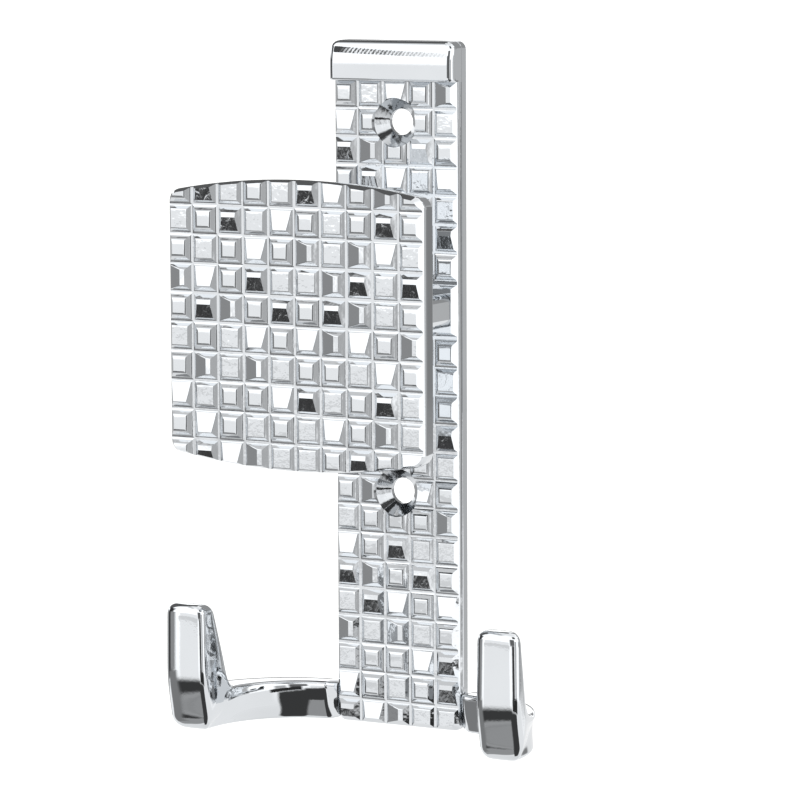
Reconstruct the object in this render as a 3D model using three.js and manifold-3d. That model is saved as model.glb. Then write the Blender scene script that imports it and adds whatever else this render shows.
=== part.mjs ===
// Double coat hook for a wall, in chrome-plated zinc.
// A carrier with two lower hooks lies on the wall. A studded face plate lies on the carrier, and a studded
// pad stands in front of it on a flat neck. Two screws from behind clamp the three castings together.
//
// Sizes are millimetres. The pieces are drawn in a front view: x to the right, y up the wall, z out from
// the wall towards the room. The last group stands that drawing up, so that +Z is up and the wall is +Y.
// The origin lies on the wall face, midway between the two wall-screw holes.
import * as THREE from "three";
import { mergeVertices } from "three/addons/utils/BufferGeometryUtils.js";
import Module from "manifold-3d";

const wasm = await Module();
wasm.setup();

// Studs: square pyramids with polished tops, in a square grid.
const STUD_PITCH = 5;
const STUD_TOP = 2.65;
const STUD_HEIGHT = 0.85;
const GROOVE_WIDTH = 0.45;
// Some tops are cut lower or at a lean, so that they catch other parts of the room.
const LOW_STUD_DROP = 0.3;
const UP_LEAN = THREE.MathUtils.degToRad(11);
const DOWN_LEAN = THREE.MathUtils.degToRad(13);
const LEFT_LEAN = THREE.MathUtils.degToRad(17);
const FACET_LEDGE = 0.75;
const FACET_SKIM = 0.03;

// Rim: the slope round the edge of a studded plate, from the stud tops to a shoulder below the grooves.
const RIM_WIDTH = 1.2;
const RIM_SHOULDER = 0.4;

// Carrier and face plate, measured from the neck's axis up and down the wall. A corner is the one that is
// left at the stud tops, inside the rim.
const PLATE_WIDTH = 24.8;
const PLATE_FOOT = 74.3;
const PLATE_CORNER = 0.3;
const CARRIER_THICKNESS = 1.8;
const FACE_THICKNESS = 1.1;
const HEADER_BOTTOM = 39.7;
const HEADER_HEIGHT = 7.05;
const HEADER_RISE = 2.3;
const HEADER_ROUND = 0.9;

// Wall screws: two countersunk holes, one above the other.
const WALL_HOLE_SPACING = 65;
const WALL_HOLE_DIAMETER = 4.6;
const WALL_COUNTERSINK_DIAMETER = 8.5;

// Pad and neck.
const PAD_WIDTH = 49.7;
const PAD_HEIGHT = 49.4;
const PAD_ARCH_RADIUS = 128;
const PAD_CORNER = 1.1;
const PAD_THICKNESS = 3.3;
const NECK_WIDTH = 22.5;
const NECK_HEIGHT = 5.9;
const NECK_CORNER = 1.7;
const NECK_LENGTH = 31.2;
const SEAT_MARGIN = 0.7;

// Lower hooks: an arm curves out of the carrier's side and forward, and ends in an upright tab.
const TAB_SPACING = 62.2;
const TAB_WIDTH = 7.75;
const TAB_REACH = 25.3;
const TAB_HEIGHT = 22.6;
const TAB_TOP_THICKNESS = 3.9;
const TAB_BACK_SLOPE = 0.31;
const TAB_OUTER_THICKNESS = 1.6;
const TAB_OUTER_SLOPE = 0.12;
const TAB_CROWN_WIDTH = 2.2;
const TAB_CROWN_DEPTH = 1.4;
const TAB_EDGE_ROUND = 0.8;
const TAB_TOP_ROUND = 1.6;
const TAB_FOOT_ROUND = 2.6;
const ARM_HEIGHT = 7;
const ARM_ROOT_DEPTH = 4.75;
const ARM_THICKNESS = 6.6;
const ARM_END_STRAIGHT = 2.8;
const ARM_EDGE_ROUND = 0.8;
const ARM_FILLET = 3;

// Clamp screws: M3, countersunk, with a cross recess.
const SCREW_DIAMETER = 3;
const SCREW_HEAD_DIAMETER = 5.8;
const SCREW_HEAD_SINK = 0.1;
const SCREW_LENGTH = 13;
const SCREW_END_INSET = 4.25;
const RECESS_LENGTH = 3.2;
const RECESS_WIDTH = 0.7;
const RECESS_DEPTH = 0.9;

// Clearances.
const SEAT_GAP = 0.1;
const SIDE_GAP = 0.15;
const SCREW_CLEARANCE = 0.15;

// Steps that round shapes are drawn with.
const ROUND_STEPS = 3;
const BEND_STEPS = 14;
const HOLE_STEPS = 28;

// Levels above the wall that the pieces share.
const FACE_BACK = CARRIER_THICKNESS + SEAT_GAP;
const FACE_FLOOR = FACE_BACK + FACE_THICKNESS;
const FACE_TOP = FACE_FLOOR + STUD_HEIGHT;
const NECK_FOOT = FACE_TOP + SEAT_GAP;
const PAD_BACK = NECK_FOOT + NECK_LENGTH;
const PAD_FLOOR = PAD_BACK + PAD_THICKNESS;
const PLATE_SIDE = PLATE_WIDTH / 2;
const PLATE_TOP = HEADER_BOTTOM + HEADER_HEIGHT;
const PLATE_OUTER_CORNER = PLATE_CORNER + Math.max(RIM_WIDTH, HEADER_ROUND);
const PAD_OUTER_CORNER = PAD_CORNER + RIM_WIDTH;
const ARM_TOP = ARM_HEIGHT - PLATE_FOOT;
const SCREW_OFFSET = NECK_WIDTH / 2 - SCREW_END_INSET;
// Enough to reach right through any piece when something is cut or joined.
const REACH = PLATE_FOOT + PLATE_TOP + PAD_WIDTH;
const ROOT = FACE_THICKNESS / 3;

// How each stud's top is cut, row by row from the top left: F full, E low, U leaning up, D leaning down,
// L leaning left.
const FACE_STUDS = [
  "FEUFL", "UFFFE", "DLFDF", "FDUEU", "UFLDE", "EUFLD", "FLEUF", "FFFFF",
  "FFFFF", "LDUEF", "FEFDE", "DFLUF", "UEFLD", "FUDFE", "FLFUF", "EFFFL",
  "UFDEE", "DLFDF", "EDUFU", "LELEF", "EFFUD", "UFEFD", "DULEE",
];
const PAD_STUDS = [
  "FDEFEDUFLF", "EFDEUFEFDF", "FEFUFLELUE", "LUFDEELDED", "FDLFDFDLEF",
  "EFEUFULUFL", "FLELEFFEUF", "UEFFUDEFDE", "FUFEFEUFLE", "FDULEEFDFU",
];
const STUD_CUTS = {
  F: { drop: 0, lean: 0, ledge: 0, turn: 0 },
  E: { drop: LOW_STUD_DROP, lean: 0, ledge: 0, turn: 0 },
  U: { drop: FACET_SKIM, lean: UP_LEAN, ledge: 0, turn: 0 },
  D: { drop: 0, lean: DOWN_LEAN, ledge: FACET_LEDGE, turn: Math.PI },
  L: { drop: 0, lean: LEFT_LEAN, ledge: FACET_LEDGE, turn: Math.PI / 2 },
};

// A closed geometry as a solid that can be joined and cut.
function solid(geometry) {
  const bare = geometry.clone();
  bare.deleteAttribute("normal");
  bare.deleteAttribute("uv");
  const merged = mergeVertices(bare, 1e-4);
  return new wasm.Manifold(
    new wasm.Mesh({
      numProp: 3,
      vertProperties: new Float32Array(merged.attributes.position.array),
      triVerts: new Uint32Array(merged.index.array),
    }),
  );
}

function geometryOf(body) {
  const { vertProperties, triVerts } = body.getMesh();
  const geometry = new THREE.BufferGeometry();
  geometry.setAttribute("position", new THREE.BufferAttribute(vertProperties, 3));
  geometry.setIndex(new THREE.BufferAttribute(triVerts, 1));
  return geometry;
}

function joined(bodies) {
  return bodies.reduce((whole, body) => whole.add(body));
}

// A box between two corners.
function block(low, high) {
  const size = high.clone().sub(low);
  const middle = low.clone().add(high).multiplyScalar(0.5);
  return new THREE.BoxGeometry(size.x, size.y, size.z).translate(middle.x, middle.y, middle.z);
}

// A block that narrows by the same inset all round from its foot, at z = 0, to its top.
function taperedBlock(width, height, inset, rise) {
  const geometry = new THREE.BoxGeometry(width, height, rise).translate(0, 0, rise / 2);
  const position = geometry.attributes.position;
  for (let i = 0; i < position.count; i += 1) {
    if (position.getZ(i) > rise / 2) {
      position.setX(i, Math.sign(position.getX(i)) * (width / 2 - inset));
      position.setY(i, Math.sign(position.getY(i)) * (height / 2 - inset));
    }
  }
  return geometry;
}

// A stud-like block on a groove floor at z = 0, rooted a little way under that floor.
function rootedBlock(width, height) {
  const slope = (STUD_PITCH - GROOVE_WIDTH - STUD_TOP) / 2 / STUD_HEIGHT;
  const spread = 2 * slope * ROOT;
  const rise = STUD_HEIGHT + ROOT;
  return taperedBlock(width + spread, height + spread, slope * rise, rise).translate(0, 0, -ROOT);
}

function studGeometry({ drop, lean, ledge, turn }) {
  const base = STUD_PITCH - GROOVE_WIDTH;
  const cutter = new THREE.BoxGeometry(REACH, REACH, REACH)
    .translate(0, 0, REACH / 2)
    .rotateX(-lean)
    .translate(0, ledge - STUD_TOP / 2, STUD_HEIGHT - drop)
    .rotateZ(turn);
  return geometryOf(solid(rootedBlock(base, base)).subtract(solid(cutter)));
}

const studShapes = Object.fromEntries(
  Object.entries(STUD_CUTS).map(([letter, cut]) => [letter, studGeometry(cut)]),
);

// Studs on a groove floor: rows are counted from the neck's axis, columns from the middle.
function studField(columns, rowsAbove, rowsBelow, chart, floor, bareHeight) {
  const bodies = [];
  for (let row = 0; row < rowsAbove + rowsBelow; row += 1) {
    const y = (rowsAbove - row - 0.5) * STUD_PITCH;
    if (Math.abs(y) < bareHeight / 2) continue;
    const line = chart[row % chart.length];
    for (let column = 0; column < columns; column += 1) {
      const x = (column - (columns - 1) / 2) * STUD_PITCH;
      const shape = studShapes[line[column % line.length]];
      bodies.push(solid(shape.clone().translate(x, y, floor)));
    }
  }
  return bodies;
}

// Points of an elliptical arc, first and last included.
function arcPoints(centre, radii, from, to, steps) {
  return Array.from({ length: steps + 1 }, (_, i) => {
    const angle = from + ((to - from) * i) / steps;
    return new THREE.Vector2(
      centre.x + radii.x * Math.cos(angle),
      centre.y + radii.y * Math.sin(angle),
    );
  });
}

function roundedRectangle(left, bottom, right, top, corner) {
  const quarter = Math.PI / 2;
  const radii = new THREE.Vector2(corner, corner);
  const corners = [
    [right - corner, bottom + corner, -quarter],
    [right - corner, top - corner, 0],
    [left + corner, top - corner, quarter],
    [left + corner, bottom + corner, 2 * quarter],
  ];
  return new THREE.Shape(
    corners.flatMap(([x, y, from]) =>
      arcPoints(new THREE.Vector2(x, y), radii, from, from + quarter, ROUND_STEPS),
    ),
  );
}

// An outline from one level to another, with the edge at the front level sloped or rounded inwards.
function rimmed(shape, back, front, rimWidth, rimDepth, rimSteps) {
  const geometry = new THREE.ExtrudeGeometry(shape, {
    depth: front - back,
    bevelEnabled: true,
    bevelThickness: rimDepth,
    bevelSize: rimWidth,
    bevelOffset: -rimWidth,
    bevelSegments: rimSteps,
    curveSegments: BEND_STEPS,
  }).translate(0, 0, back - rimDepth);
  const behind = block(new THREE.Vector3(-REACH, -REACH, -REACH), new THREE.Vector3(REACH, REACH, back));
  return solid(geometry).subtract(solid(behind));
}

function plain(shape, back, front) {
  const settings = { depth: front - back, bevelEnabled: false, curveSegments: BEND_STEPS };
  return solid(new THREE.ExtrudeGeometry(shape, settings).translate(0, 0, back));
}

// A turned body on the line x, y: the profile gives radius and level.
function turned(profile, x, y) {
  const points = profile.map(([radius, level]) => new THREE.Vector2(radius, level));
  const geometry = new THREE.LatheGeometry(points, HOLE_STEPS).rotateX(Math.PI / 2).translate(x, y, 0);
  return solid(geometry);
}

// A slab with studs on it, trimmed to an outline with a sloped rim.
function studdedPlate(shape, back, floor, raised) {
  const front = floor + STUD_HEIGHT;
  const slab = block(new THREE.Vector3(-REACH, -REACH, back), new THREE.Vector3(REACH, REACH, floor));
  const envelope = rimmed(shape, back, front, RIM_WIDTH, STUD_HEIGHT + RIM_SHOULDER, 1);
  return joined([solid(slab), ...raised]).intersect(envelope);
}

const wallHoleLines = [WALL_HOLE_SPACING / 2, -WALL_HOLE_SPACING / 2];
const screwLines = { left: -SCREW_OFFSET, right: SCREW_OFFSET };

// A wall hole: a straight bore, and a 90 degree countersink that is full size at the foot of the studs.
function wallHole(y) {
  const bore = WALL_HOLE_DIAMETER / 2;
  const sink = WALL_COUNTERSINK_DIAMETER / 2;
  const coneEnd = FACE_FLOOR - (sink - bore);
  const profile = [
    [0, -REACH], [bore, -REACH], [bore, coneEnd], [sink, FACE_FLOOR], [sink, REACH], [0, REACH],
  ];
  return turned(profile, 0, y);
}

// The room that a clamp screw needs: its countersink at the wall face, and a bore past its tip.
function screwRoom(x) {
  const bore = SCREW_DIAMETER / 2 + SCREW_CLEARANCE;
  const head = SCREW_HEAD_DIAMETER / 2 + SCREW_HEAD_SINK + SCREW_CLEARANCE;
  const end = SCREW_HEAD_SINK + SCREW_LENGTH + SCREW_CLEARANCE;
  const outside = SCREW_HEAD_SINK;
  const profile = [
    [0, -outside], [head + outside, -outside], [bore, head - bore], [bore, end], [0, end],
  ];
  return turned(profile, x, 0);
}

function clampScrew(x) {
  const thread = SCREW_DIAMETER / 2;
  const head = SCREW_HEAD_DIAMETER / 2;
  const neck = SCREW_HEAD_SINK + head - thread;
  const tip = SCREW_HEAD_SINK + SCREW_LENGTH;
  const point = thread / 2;
  const profile = [
    [0, SCREW_HEAD_SINK], [head, SCREW_HEAD_SINK], [thread, neck],
    [thread, tip - point], [thread - point, tip], [0, tip],
  ];
  const slot = new THREE.Vector3(RECESS_LENGTH / 2, RECESS_WIDTH / 2, RECESS_DEPTH + SCREW_HEAD_SINK);
  const level = block(slot.clone().negate(), slot).translate(x, 0, 0);
  const upright = block(slot.clone().negate(), slot).rotateZ(Math.PI / 2).translate(x, 0, 0);
  return turned(profile, x, 0).subtract(solid(level)).subtract(solid(upright));
}

function facePlate() {
  const columns = 2 * Math.ceil(PLATE_SIDE / STUD_PITCH - 0.5) + 1;
  const rowsAbove = Math.ceil(HEADER_BOTTOM / STUD_PITCH);
  const rowsBelow = Math.ceil(PLATE_FOOT / STUD_PITCH);
  // The neck's seat takes the place of whole rows of studs.
  const seatRows = 2 * Math.ceil((NECK_HEIGHT / 2 + SEAT_MARGIN) / STUD_PITCH);
  const seatHeight = seatRows * STUD_PITCH - GROOVE_WIDTH;
  const seatWidth = columns * STUD_PITCH - GROOVE_WIDTH;
  const seat = solid(rootedBlock(seatWidth, seatHeight).translate(0, 0, FACE_FLOOR));
  const studs = studField(columns, rowsAbove, rowsBelow, FACE_STUDS, FACE_FLOOR, seatHeight);
  const outline = roundedRectangle(-PLATE_SIDE, -PLATE_FOOT, PLATE_SIDE, PLATE_TOP, PLATE_OUTER_CORNER);
  const plate = studdedPlate(outline, FACE_BACK, FACE_FLOOR, [seat, ...studs]);
  const bar = roundedRectangle(-PLATE_SIDE, HEADER_BOTTOM, PLATE_SIDE, PLATE_TOP, PLATE_OUTER_CORNER);
  const headerFront = FACE_FLOOR + HEADER_RISE;
  const header = rimmed(bar, FACE_BACK, headerFront, HEADER_ROUND, HEADER_ROUND, ROUND_STEPS);
  const holes = [...wallHoleLines.map(wallHole), ...Object.values(screwLines).map(screwRoom)];
  return plate.add(header).subtract(joined(holes));
}

function padOutline() {
  const side = PAD_WIDTH / 2;
  const corner = PAD_OUTER_CORNER;
  const arch = PAD_ARCH_RADIUS;
  const rise = PAD_HEIGHT / 2;
  // The corner's circle touches the straight side and the arch from inside.
  const cornerX = side - corner;
  const cornerY = Math.sqrt((arch - corner) ** 2 - cornerX ** 2) - (arch - rise);
  const lean = Math.asin(cornerX / (arch - corner));
  const corners = new THREE.Vector2(corner, corner);
  const arches = new THREE.Vector2(arch, arch);
  const quarter = Math.PI / 2;
  const half = [
    ...arcPoints(new THREE.Vector2(cornerX, cornerY), corners, 0, quarter - lean, ROUND_STEPS),
    ...arcPoints(new THREE.Vector2(0, rise - arch), arches, quarter - lean, quarter + lean, BEND_STEPS),
    ...arcPoints(new THREE.Vector2(-cornerX, cornerY), corners, quarter + lean, 2 * quarter, ROUND_STEPS),
  ];
  const lower = half.map((point) => point.clone().negate());
  const points = [...half, ...lower];
  const repeats = (point, i) => point.distanceTo(points[(i + 1) % points.length]) < 1e-6;
  return new THREE.Shape(points.filter((point, i) => !repeats(point, i)));
}

function frontPad() {
  const columns = 2 * Math.ceil(PAD_WIDTH / 2 / STUD_PITCH);
  const rows = Math.ceil(PAD_HEIGHT / 2 / STUD_PITCH);
  const studs = studField(columns, rows, rows, PAD_STUDS, PAD_FLOOR, 0);
  const pad = studdedPlate(padOutline(), PAD_BACK, PAD_FLOOR, studs);
  const halfWidth = NECK_WIDTH / 2;
  const halfHeight = NECK_HEIGHT / 2;
  const section = roundedRectangle(-halfWidth, -halfHeight, halfWidth, halfHeight, NECK_CORNER);
  const neck = plain(section, NECK_FOOT, PAD_BACK + PAD_THICKNESS / 2);
  return pad.add(neck).subtract(joined(Object.values(screwLines).map(screwRoom)));
}

// One arm in plan, for the right hook. Its front leaves the face plate's side square and ends along the
// tab's inner side. Its back leaves the wall and ends behind the tab. Both bends end level with each other,
// a short straight before the tab. A tongue roots the arm in the carrier.
function armPlan() {
  const quarter = Math.PI / 2;
  const frontRoot = PLATE_SIDE + SIDE_GAP;
  const frontEnd = (TAB_SPACING - TAB_WIDTH) / 2;
  const backEnd = frontEnd + ARM_THICKNESS;
  const tabMiddle = TAB_REACH - TAB_CROWN_DEPTH - TAB_EDGE_ROUND;
  const bendEnd = tabMiddle - ARM_END_STRAIGHT;
  const tongue = PLATE_SIDE - CARRIER_THICKNESS;
  const backCentre = new THREE.Vector2(PLATE_SIDE, bendEnd);
  const backRadii = new THREE.Vector2(backEnd - PLATE_SIDE, bendEnd);
  const frontCentre = new THREE.Vector2(frontRoot, bendEnd);
  const frontRadii = new THREE.Vector2(frontEnd - frontRoot, bendEnd - ARM_ROOT_DEPTH);
  return [
    new THREE.Vector2(tongue, 0),
    ...arcPoints(backCentre, backRadii, -quarter, 0, BEND_STEPS),
    new THREE.Vector2(backEnd, tabMiddle),
    new THREE.Vector2(frontEnd, tabMiddle),
    ...arcPoints(frontCentre, frontRadii, 0, -quarter, BEND_STEPS),
    new THREE.Vector2(frontRoot, CARRIER_THICKNESS),
    new THREE.Vector2(tongue, CARRIER_THICKNESS),
  ];
}

// side is 1 for the right arm and -1 for the left.
function arm(side) {
  const shape = new THREE.Shape(armPlan().map((point) => new THREE.Vector2(side * point.x, point.y)));
  const geometry = new THREE.ExtrudeGeometry(shape, {
    depth: ARM_HEIGHT - 2 * ARM_EDGE_ROUND,
    bevelEnabled: true,
    bevelThickness: ARM_EDGE_ROUND,
    bevelSize: ARM_EDGE_ROUND,
    bevelOffset: -ARM_EDGE_ROUND,
    bevelSegments: ROUND_STEPS,
  });
  // The plan lies flat once it is turned, and its height runs down from the arm's top.
  return solid(geometry.rotateX(Math.PI / 2).translate(0, ARM_TOP - ARM_EDGE_ROUND, 0));
}

// How far a round of this radius pulls a face in, at a distance from the end that it runs out to.
function roundInset(distance, radius) {
  if (distance >= radius) return 0;
  return radius - Math.sqrt(radius ** 2 - (radius - distance) ** 2);
}

// A tab's outline in plan, at a height over its foot: the right tab's. The tab is crowned in front, thick on
// its inner side, where it runs down into the arm, and thin on its outer side.
function tabSection(height) {
  const quarter = Math.PI / 2;
  const overArm = Math.max(height - ARM_HEIGHT, 0);
  const underTop = TAB_HEIGHT - Math.max(height, ARM_HEIGHT);
  const topInset = roundInset(TAB_HEIGHT - height, TAB_TOP_ROUND);
  const sideInset = Math.max(topInset, roundInset(height, TAB_EDGE_ROUND));
  const frontInset = Math.max(topInset, roundInset(height, TAB_FOOT_ROUND));
  const thickness = TAB_TOP_THICKNESS + underTop * TAB_BACK_SLOPE + roundInset(overArm, ARM_FILLET);
  const inner = (TAB_SPACING - TAB_WIDTH) / 2 + sideInset;
  const outer = (TAB_SPACING + TAB_WIDTH) / 2 - sideInset;
  const front = TAB_REACH - frontInset;
  const back = TAB_REACH - thickness + topInset;
  const depth = front - back;
  const edge = Math.min(TAB_EDGE_ROUND, depth / 3);
  const edges = new THREE.Vector2(edge, edge);
  const crown = new THREE.Vector2(
    Math.min(TAB_CROWN_WIDTH, (outer - inner) / 3),
    Math.min(TAB_CROWN_DEPTH, depth / 3),
  );
  const outerThickness = TAB_OUTER_THICKNESS + (TAB_HEIGHT - height) * TAB_OUTER_SLOPE;
  const outerBack = front - Math.max(crown.y * 1.1, Math.min(outerThickness, depth / 2));
  const backFlat = inner + 2 * edge;
  const backRadii = new THREE.Vector2(outer - backFlat, outerBack - back);
  const frontInner = new THREE.Vector2(inner + crown.x, front - crown.y);
  const frontOuter = new THREE.Vector2(outer - crown.x, front - crown.y);
  return [
    ...arcPoints(frontInner, crown, 2 * quarter, quarter, ROUND_STEPS),
    ...arcPoints(frontOuter, crown, quarter, 0, ROUND_STEPS),
    ...arcPoints(new THREE.Vector2(backFlat, outerBack), backRadii, 0, -quarter, 2 * ROUND_STEPS),
    ...arcPoints(new THREE.Vector2(inner + edge, back + edge), edges, -quarter, -2 * quarter, ROUND_STEPS),
  ];
}

// A skin through rings of equally many points, closed by a fan at each end.
function loft(rings) {
  const count = rings[0].length;
  const last = (rings.length - 1) * count;
  const faces = [];
  for (let ring = 0; ring < last; ring += count) {
    for (let i = 0; i < count; i += 1) {
      const next = (i + 1) % count;
      faces.push(ring + i, ring + next, ring + count + next);
      faces.push(ring + i, ring + count + next, ring + count + i);
    }
  }
  for (let i = 1; i < count - 1; i += 1) {
    faces.push(0, i + 1, i);
    faces.push(last, last + i, last + i + 1);
  }
  const geometry = new THREE.BufferGeometry().setFromPoints(rings.flat());
  geometry.setIndex(faces);
  return geometry;
}

function tab(side) {
  const sine = (radius, i) => radius * (1 - Math.cos((i * Math.PI) / 2 / ROUND_STEPS));
  const steps = Array.from({ length: ROUND_STEPS + 1 }, (_, i) => i);
  const heights = [
    ...steps.map((i) => sine(TAB_FOOT_ROUND, i)),
    ...steps.map((i) => ARM_HEIGHT + sine(ARM_FILLET, i)),
    ...steps.map((i) => TAB_HEIGHT - sine(TAB_TOP_ROUND, ROUND_STEPS - i)),
  ];
  const rings = heights.map((height) => {
    const ring = tabSection(height).map(
      (point) => new THREE.Vector3(side * point.x, height - PLATE_FOOT, point.y),
    );
    return side > 0 ? ring : ring.reverse();
  });
  return solid(loft(rings));
}

function hookCarrier() {
  const outline = roundedRectangle(-PLATE_SIDE, -PLATE_FOOT, PLATE_SIDE, PLATE_TOP, PLATE_OUTER_CORNER);
  const plate = plain(outline, 0, CARRIER_THICKNESS);
  const hooks = [1, -1].flatMap((side) => [arm(side), tab(side)]);
  const holes = [...wallHoleLines.map(wallHole), ...Object.values(screwLines).map(screwRoom)];
  return joined([plate, ...hooks]).subtract(joined(holes));
}

function piece(name, body, material) {
  const mesh = new THREE.Mesh(geometryOf(body), new THREE.MeshStandardMaterial(material));
  mesh.geometry.computeVertexNormals();
  mesh.name = name;
  return mesh;
}

const polishedChrome = { color: 0xdfe2e4, metalness: 1, roughness: 0.06 };
const zincedSteel = { color: 0xb9bcbd, metalness: 1, roughness: 0.3 };

const drawing = new THREE.Group();
drawing.rotation.x = Math.PI / 2;
drawing.add(piece("hook_carrier", hookCarrier(), polishedChrome));
drawing.add(piece("face_plate", facePlate(), polishedChrome));
drawing.add(piece("front_pad", frontPad(), polishedChrome));
for (const [side, x] of Object.entries(screwLines)) {
  drawing.add(piece(`clamp_screw_${side}`, clampScrew(x), zincedSteel));
}

const coatHook = new THREE.Group();
coatHook.add(drawing);
export default coatHook;
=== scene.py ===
"""Chrome double coat hook: its fine shapes, finishes and studio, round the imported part."""

import math
from contextlib import contextmanager

import bmesh
import bpy
from mathutils import Matrix, Vector


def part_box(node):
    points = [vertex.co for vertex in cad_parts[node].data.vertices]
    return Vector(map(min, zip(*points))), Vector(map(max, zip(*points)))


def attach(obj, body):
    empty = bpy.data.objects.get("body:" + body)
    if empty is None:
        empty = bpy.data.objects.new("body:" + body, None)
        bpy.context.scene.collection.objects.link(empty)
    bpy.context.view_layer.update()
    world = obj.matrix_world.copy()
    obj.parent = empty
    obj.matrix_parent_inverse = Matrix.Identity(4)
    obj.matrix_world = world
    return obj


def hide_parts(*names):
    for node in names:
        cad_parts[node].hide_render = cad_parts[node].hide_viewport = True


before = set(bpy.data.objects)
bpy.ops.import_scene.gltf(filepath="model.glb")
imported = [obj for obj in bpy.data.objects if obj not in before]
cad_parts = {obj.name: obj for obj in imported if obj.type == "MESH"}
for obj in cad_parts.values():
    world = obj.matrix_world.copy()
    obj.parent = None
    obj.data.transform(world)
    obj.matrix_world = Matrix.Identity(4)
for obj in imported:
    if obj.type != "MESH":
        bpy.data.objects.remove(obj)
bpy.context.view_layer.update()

MM = 0.001

# Each piece is drawn in a front view: x to the right, y up the wall, z out from the wall.
plate_low, plate_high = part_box("face_plate")
pad_low, pad_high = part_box("front_pad")
carrier_low, carrier_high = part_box("hook_carrier")
PLATE_SIDE = plate_high.x
PLATE_TOP = plate_high.z
PLATE_FOOT = plate_low.z
PLATE_BACK = -plate_high.y
HEADER_FRONT = -plate_low.y
PAD_SIDE = pad_high.x
PAD_CROWN = pad_high.z
PAD_FRONT = -pad_low.y
NECK_FOOT = -pad_high.y
TAB_OUTER = carrier_high.x - 0.01 * MM
TAB_FRONT = -carrier_low.y
HOOK_FOOT = carrier_low.z

# Studs: low pyramids on a square grid, with a round-nosed groove between them.
STUD_PITCH = 5 * MM
STUD_TOP = 2.65 * MM
STUD_WAIST = 3.52 * MM
STUD_WAIST_HEIGHT = 0.43 * MM
STUD_HEIGHT = 0.85 * MM
GROOVE_WIDTH = 0.6 * MM
STUD_ROUND = 0.26 * MM
ROWS_ABOVE_FACE = 8
ROWS_ABOVE_PAD = 5

# Cuts through a stud's top: degrees of lean, degrees round from leaning up, ledge and drop in mm.
STUD_CUTS = {
    "F": [(5, 0, 1.95, 0)],
    "E": [(0, 0, 0, 0.3), (5, 0, 2.55, 0.3)],
    "U": [(11, 0, 0, 0.03)],
    "D": [(5, 0, 1.9, 0), (10, 180, 0.75, 0)],
    "L": [(4, 90, 0, 0), (15, 90, 1.0, 0.07)],
}

# Rows from the top left: F full, E low, U leaning up, D leaning down, L leaning left, s the neck's seat.
FACE_STUDS = [
    "FEUFL", "UFFFE", "DLFDF", "FDUEU", "UFLDE", "EUFLD", "FLEUF", "sssss",
    "sssss", "LDUEF", "FEFDE", "DFLUF", "UEFLD", "FUDFE", "FLFUF", "EFFFL",
    "UFDEE", "DLFDF", "EDUFU", "LELEF", "EFFUD", "UFEFD", "DULEE",
]
PAD_STUDS = [
    "FDEFEDUFLF", "EFDEUFEFDF", "FEFUFLELUE", "LUFDEELDED", "FDLFDFDLEF",
    "EFEUFULUFL", "FLELEFFEUF", "UEFFUDEFDE", "FUFEFEUFLE", "FDULEEFDFU",
]

# Plates, header bar, pad and neck.
RIM_WIDTH = 1.2 * MM
RIM_SHOULDER = 0.4 * MM
RIM_PAST_TOPS = 1.3
PLATE_CORNER = 1.5 * MM
HEADER_BOTTOM = 39.7 * MM
HEADER_RISE = 2.3 * MM
HEADER_FLAT = 2.9 * MM
HEADER_BROW_RADIUS = 10.5 * MM
HEADER_CHEEK_RADIUS = 66 * MM
HEADER_END_ROUND = 1.4 * MM
HEADER_FOOT_ROUND = 0.45 * MM
HEADER_TOP_ROUND = 0.7 * MM
PAD_ARCH_RADIUS = 128 * MM
PAD_ARCH_CUTS = 23
PAD_CORNER = 1.84 * MM
PAD_THICKNESS = 3.3 * MM
PAD_BACK_ROUND = 0.25 * MM
PAD_DRAFT = 0.992
PAD_RIM_TALLER = 1.034
NECK_SIZE = (22.5 * MM, 5.9 * MM)
NECK_CORNER = 1.7 * MM
SEAM_GAP = 0.1 * MM
SEAM_ROUND = 0.15 * MM
SHOULDER_ROUND = 0.4 * MM
PAST_HEADER_FOOT = 4 * MM
STUDDED_SMOOTHING = math.radians(28)
PLAIN_SMOOTHING = math.radians(20)

# Screw holes: along the centre line for the wall, across the neck for the clamp.
WALL_HOLE_OFFSET = 32.5 * MM
WALL_HOLE_RADIUS = 2.3 * MM
WALL_COUNTERSINK_RADIUS = 4.25 * MM
CLAMP_OFFSET = 7 * MM
CLAMP_HOLE_RADIUS = 1.65 * MM
CLAMP_COUNTERSINK_RADIUS = 3.05 * MM
CLAMP_HOLE_DEPTH = 17.5 * MM
DRILL_OVERRUN = 1 * MM
MOUTH_DEPTH = 2 * MM
WALL_MOUTH_WIDER = 0.2 * MM

# Hooks.
ARM_HEIGHT = 7 * MM
ARM_ROOT_DEPTH = 4.75 * MM
ARM_BEND_LEVEL = 20.3 * MM
ARM_ROOT_GAP = 0.15 * MM
ARM_THICKNESS = 7.15 * MM
ARM_EDGE_ROUND = 0.8 * MM
ARM_FILLET = 3 * MM
ROOT_INSIDE = 1 * MM
ROOT_OUTSIDE = 1.2 * MM
ROOT_INSET = 0.2 * MM
ARM_END_ROUND = 1.3 * MM
ARM_END_SHORTER = 0.9
ARM_END_THINNER = 0.62
ARM_STEPS = 12
ARM_SWEEP = 100
FILLET_STEPS = 8
TAB_WIDTH = 8.3 * MM
TAB_HEIGHT = 22.6 * MM
TAB_TOP_THICKNESS = 3.9 * MM
TAB_OUTER_THICKNESS = 1.8 * MM
TAB_OUTER_SLOPE = 0.12
TAB_SIDE_DRAFT = 0.05
TAB_INNER_TAPER = 0.014
TAB_BACK_SLOPE = 0.31
TAB_EDGE_ROUND = 0.8 * MM
TAB_TOP_ROUND = 1.7 * MM
TAB_TOP_LEAN = 0.9 * MM
TAB_TAPER = 0.012
TAB_FOOT_RISE = 2.8 * MM
TAB_FOOT_LENGTH = 2.4 * MM
TAB_FOOT_FULLNESS = 0.85
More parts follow.
